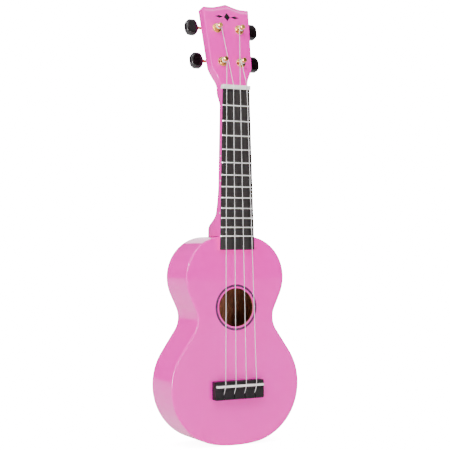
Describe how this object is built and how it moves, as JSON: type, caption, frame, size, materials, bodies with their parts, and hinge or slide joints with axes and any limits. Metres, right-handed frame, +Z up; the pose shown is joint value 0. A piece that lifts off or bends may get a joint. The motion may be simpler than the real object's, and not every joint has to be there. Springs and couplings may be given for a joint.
{
  "type": "ukulele",
  "caption": "Soprano ukulele with a painted wooden body, fretted neck, slotted bridge and geared tuning machines whose buttons turn their string posts.",
  "frame": {"origin": "on the centre line, where the nut's fingerboard edge meets the plane of the soundboard", "axes": "+Z up the neck towards the headstock, +Y from the soundboard towards the back, +X to the right seen from the front"},
  "size_m": [0.1668, 0.0698, 0.5228],
  "materials": {
    "painted_wood": "high gloss pink lacquer",
    "bare_wood": "unfinished",
    "fingerboard_wood": "oiled satin",
    "bridge_wood": "satin black",
    "rosette_ring": "gloss",
    "white_plastic": "polished",
    "dot_plastic": "polished",
    "fret_metal": "polished nickel silver",
    "ornament_black": "gloss",
    "gold_metal": "gold plated",
    "string_nylon": "translucent nylon",
    "button_black": "high gloss"
  },
  "bodies": {
    "instrument": {"soundboard": "painted_wood", "back": "painted_wood", "side_left": "painted_wood", "side_right": "painted_wood", "neck_block": "bare_wood", "tail_block": "bare_wood", "front_lining_left": "bare_wood", "front_lining_right": "bare_wood", "back_lining_left": "bare_wood", "back_lining_right": "bare_wood", "soundboard_braces": "bare_wood", "back_braces": "bare_wood", "bridge_patch": "bare_wood", "rosette": "rosette_ring", "bridge": "bridge_wood", "saddle": "white_plastic", "neck": "painted_wood", "headstock": "painted_wood", "headstock_ornament": "ornament_black", "fingerboard": "fingerboard_wood", "frets": "fret_metal", "side_dots": "dot_plastic", "nut": "white_plastic", "tuner_mount_screws": "gold_metal", "string_1": "string_nylon", "string_2": "string_nylon", "string_3": "string_nylon", "string_4": "string_nylon", "tuner_1_plate": "gold_metal", "tuner_1_bushing": "gold_metal", "tuner_2_plate": "gold_metal", "tuner_2_bushing": "gold_metal", "tuner_3_plate": "gold_metal", "tuner_3_bushing": "gold_metal", "tuner_4_plate": "gold_metal", "tuner_4_bushing": "gold_metal"},
    "tuner_1_shaft": {"tuner_1_worm": "gold_metal", "tuner_1_button": "button_black"},
    "tuner_1_spindle": {"tuner_1_post": "gold_metal", "tuner_1_gear": "gold_metal", "tuner_1_gear_screw": "gold_metal", "string_wrap_1": "string_nylon"},
    "tuner_2_shaft": {"tuner_2_worm": "gold_metal", "tuner_2_button": "button_black"},
    "tuner_2_spindle": {"tuner_2_post": "gold_metal", "tuner_2_gear": "gold_metal", "tuner_2_gear_screw": "gold_metal", "string_wrap_2": "string_nylon"},
    "tuner_3_shaft": {"tuner_3_worm": "gold_metal", "tuner_3_button": "button_black"},
    "tuner_3_spindle": {"tuner_3_post": "gold_metal", "tuner_3_gear": "gold_metal", "tuner_3_gear_screw": "gold_metal", "string_wrap_3": "string_nylon"},
    "tuner_4_shaft": {"tuner_4_worm": "gold_metal", "tuner_4_button": "button_black"},
    "tuner_4_spindle": {"tuner_4_post": "gold_metal", "tuner_4_gear": "gold_metal", "tuner_4_gear_screw": "gold_metal", "string_wrap_4": "string_nylon"}
  },
  "joints": [
    {"name": "button_1_turn", "type": "hinge", "parent": "instrument", "child": "tuner_1_shaft", "pos_m": [-0.0122, 0.02558, 0.03594], "axis": [1, 0, 0], "continuous": true},
    {"name": "post_1_turn", "type": "hinge", "parent": "instrument", "child": "tuner_1_spindle", "pos_m": [-0.0122, 0.00649, 0.03366], "axis": [0, -0.9781, 0.2079], "continuous": true},
    {"name": "button_2_turn", "type": "hinge", "parent": "instrument", "child": "tuner_2_shaft", "pos_m": [-0.0149, 0.03432, 0.07702], "axis": [1, 0, 0], "continuous": true},
    {"name": "post_2_turn", "type": "hinge", "parent": "instrument", "child": "tuner_2_spindle", "pos_m": [-0.0149, 0.01522, 0.07474], "axis": [0, -0.9781, 0.2079], "continuous": true},
    {"name": "button_3_turn", "type": "hinge", "parent": "instrument", "child": "tuner_3_shaft", "pos_m": [0.0149, 0.03432, 0.07702], "axis": [1, 0, 0], "continuous": true},
    {"name": "post_3_turn", "type": "hinge", "parent": "instrument", "child": "tuner_3_spindle", "pos_m": [0.0149, 0.01522, 0.07474], "axis": [0, -0.9781, 0.2079], "continuous": true},
    {"name": "button_4_turn", "type": "hinge", "parent": "instrument", "child": "tuner_4_shaft", "pos_m": [0.0122, 0.02558, 0.03594], "axis": [1, 0, 0], "continuous": true},
    {"name": "post_4_turn", "type": "hinge", "parent": "instrument", "child": "tuner_4_spindle", "pos_m": [0.0122, 0.00649, 0.03366], "axis": [0, -0.9781, 0.2079], "continuous": true}
  ],
  "couplings": [
    {"joint": "post_1_turn", "follows": "button_1_turn", "ratio": 0.071429},
    {"joint": "post_2_turn", "follows": "button_2_turn", "ratio": 0.071429},
    {"joint": "post_3_turn", "follows": "button_3_turn", "ratio": 0.071429},
    {"joint": "post_4_turn", "follows": "button_4_turn", "ratio": 0.071429}
  ]
}
